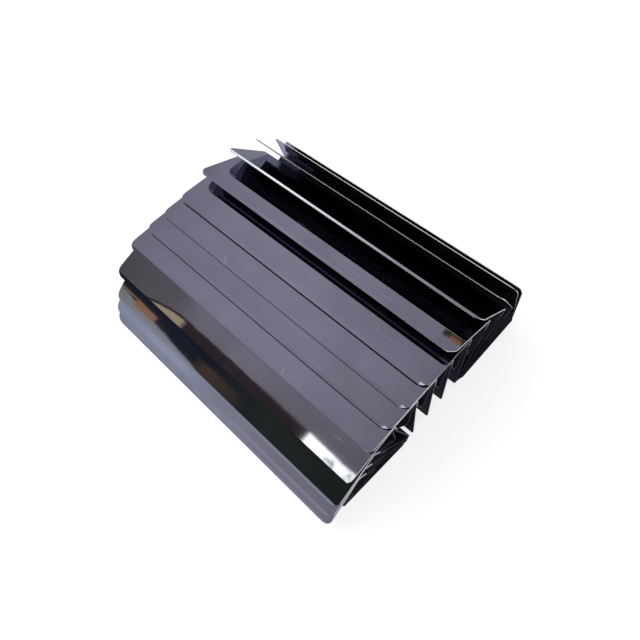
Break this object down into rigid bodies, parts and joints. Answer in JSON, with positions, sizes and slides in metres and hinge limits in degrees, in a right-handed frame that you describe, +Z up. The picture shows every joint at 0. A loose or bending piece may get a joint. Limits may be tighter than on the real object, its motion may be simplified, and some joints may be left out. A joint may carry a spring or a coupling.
{
  "type": "armoured bellows way cover",
  "caption": "Armoured bellows way cover: polished steel lamellas overlap like shingles over board-stiffened fabric folds between two drilled end boards, lying bent into an arch.",
  "frame": {"origin": "centre of the footprint of the whole part, on the surface that it lies on", "axes": "+X along the lamellas towards the end where the folds are flush with them, +Y the travel direction from the front end board to the rear one, +Z up"},
  "size_m": [0.4, 0.3503, 0.1404],
  "materials": {
    "lamella_steel": "mirror polished",
    "board_plastic": "satin",
    "web_fabric": "coated, satin",
    "rivet_metal": "satin",
    "end_board_plastic": "satin",
    "clamp_strip_metal": "black anodised"
  },
  "bodies": {
    "end_front": {"clamp_strip_front": "clamp_strip_metal", "end_board_front": "end_board_plastic", "web_01": "web_fabric"},
    "fold_01": {"board_01": "board_plastic", "lamella_01": "lamella_steel", "rivets_01": "rivet_metal", "web_02": "web_fabric"},
    "fold_02": {"board_02": "board_plastic", "lamella_02": "lamella_steel", "rivets_02": "rivet_metal", "web_03": "web_fabric"},
    "fold_03": {"board_03": "board_plastic", "lamella_03": "lamella_steel", "rivets_03": "rivet_metal", "web_04": "web_fabric"},
    "fold_04": {"board_04": "board_plastic", "lamella_04": "lamella_steel", "rivets_04": "rivet_metal", "web_05": "web_fabric"},
    "fold_05": {"board_05": "board_plastic", "lamella_05": "lamella_steel", "rivets_05": "rivet_metal", "web_06": "web_fabric"},
    "fold_06": {"board_06": "board_plastic", "lamella_06": "lamella_steel", "rivets_06": "rivet_metal", "web_07": "web_fabric"},
    "fold_07": {"board_07": "board_plastic", "lamella_07": "lamella_steel", "rivets_07": "rivet_metal", "web_08": "web_fabric"},
    "fold_08": {"board_08": "board_plastic", "lamella_08": "lamella_steel", "rivets_08": "rivet_metal", "web_09": "web_fabric"},
    "fold_09": {"board_09": "board_plastic", "lamella_09": "lamella_steel", "rivets_09": "rivet_metal", "web_10": "web_fabric"},
    "fold_10": {"board_10": "board_plastic", "lamella_10": "lamella_steel", "rivets_10": "rivet_metal", "web_11": "web_fabric"},
    "fold_11": {"board_11": "board_plastic", "lamella_11": "lamella_steel", "rivets_11": "rivet_metal", "web_12": "web_fabric"},
    "fold_12": {"board_12": "board_plastic", "lamella_12": "lamella_steel", "rivets_12": "rivet_metal", "web_13": "web_fabric"},
    "fold_13": {"board_13": "board_plastic", "lamella_13": "lamella_steel", "rivets_13": "rivet_metal", "web_14": "web_fabric"},
    "end_rear": {"clamp_strip_rear": "clamp_strip_metal", "end_board_rear": "end_board_plastic"}
  },
  "joints": [
    {"name": "travel_05", "type": "slide", "parent": "fold_06", "child": "fold_05", "axis": [0, -1, 0], "range_m": [-0.012, 0.028], "deforming": ["web_06"]},
    {"name": "travel_07", "type": "slide", "parent": "fold_06", "child": "fold_07", "axis": [0, 1, 0], "range_m": [-0.012, 0.028], "deforming": ["web_07"]},
    {"name": "travel_08", "type": "slide", "parent": "fold_07", "child": "fold_08", "axis": [0, 1, 0], "range_m": [-0.012, 0.028], "deforming": ["web_08"]},
    {"name": "front_swing_04", "type": "hinge", "parent": "fold_05", "child": "fold_04", "pos_m": [0.02, -0.0328, 0.00859], "axis": [-1, 0, 0], "range_deg": [0, 3], "deforming": ["web_05"]},
    {"name": "front_swing_03", "type": "hinge", "parent": "fold_04", "child": "fold_03", "pos_m": [0.02, -0.0364, 0.0077], "axis": [-1, 0, 0], "range_deg": [0, 7.5], "deforming": ["web_04"]},
    {"name": "front_swing_02", "type": "hinge", "parent": "fold_03", "child": "fold_02", "pos_m": [0.02, -0.03743, 0.00484], "axis": [-1, 0, 0], "range_deg": [0, 3], "deforming": ["web_03"]},
    {"name": "front_swing_01", "type": "hinge", "parent": "fold_02", "child": "fold_01", "pos_m": [0.02, -0.03851, 0.00219], "axis": [-1, 0, 0], "range_deg": [0, 3], "deforming": ["web_02"]},
    {"name": "front_swing_00", "type": "hinge", "parent": "fold_01", "child": "end_front", "pos_m": [0.02, -0.04151, 0.00104], "axis": [-1, 0, 0], "range_deg": [-16.5, 0], "deforming": ["web_01"]},
    {"name": "rear_swing_09", "type": "hinge", "parent": "fold_08", "child": "fold_09", "pos_m": [0.02, 0.05163, 0.01201], "axis": [1, 0, 0], "range_deg": [0, 4], "deforming": ["web_09"]},
    {"name": "rear_swing_10", "type": "hinge", "parent": "fold_09", "child": "fold_10", "pos_m": [0.02, 0.05363, 0.01099], "axis": [1, 0, 0], "range_deg": [0, 6], "deforming": ["web_10"]},
    {"name": "rear_swing_11", "type": "hinge", "parent": "fold_10", "child": "fold_11", "pos_m": [0.02, 0.05586, 0.00984], "axis": [1, 0, 0], "range_deg": [0, 8], "deforming": ["web_11"]},
    {"name": "rear_swing_12", "type": "hinge", "parent": "fold_11", "child": "fold_12", "pos_m": [0.02, 0.05819, 0.00845], "axis": [1, 0, 0], "range_deg": [0, 8], "deforming": ["web_12"]},
    {"name": "rear_swing_13", "type": "hinge", "parent": "fold_12", "child": "fold_13", "pos_m": [0.02, 0.0604, 0.00685], "axis": [1, 0, 0], "range_deg": [0, 6], "deforming": ["web_13"]},
    {"name": "rear_swing_14", "type": "hinge", "parent": "fold_13", "child": "end_rear", "pos_m": [0.02, 0.0638, 0.00362], "axis": [1, 0, 0], "range_deg": [-32, 0], "deforming": ["web_14"]}
  ],
  "couplings": [
    {"joint": "travel_05", "follows": "travel_07", "ratio": 1},
    {"joint": "travel_08", "follows": "travel_07", "ratio": 1},
    {"joint": "front_swing_03", "follows": "front_swing_04", "ratio": 2.5},
    {"joint": "front_swing_02", "follows": "front_swing_04", "ratio": 1},
    {"joint": "front_swing_01", "follows": "front_swing_04", "ratio": 1},
    {"joint": "front_swing_00", "follows": "front_swing_04", "ratio": -5.5},
    {"joint": "rear_swing_10", "follows": "rear_swing_09", "ratio": 1.5},
    {"joint": "rear_swing_11", "follows": "rear_swing_09", "ratio": 2},
    {"joint": "rear_swing_12", "follows": "rear_swing_09", "ratio": 2},
    {"joint": "rear_swing_13", "follows": "rear_swing_09", "ratio": 1.5},
    {"joint": "rear_swing_14", "follows": "rear_swing_09", "ratio": -8}
  ]
}
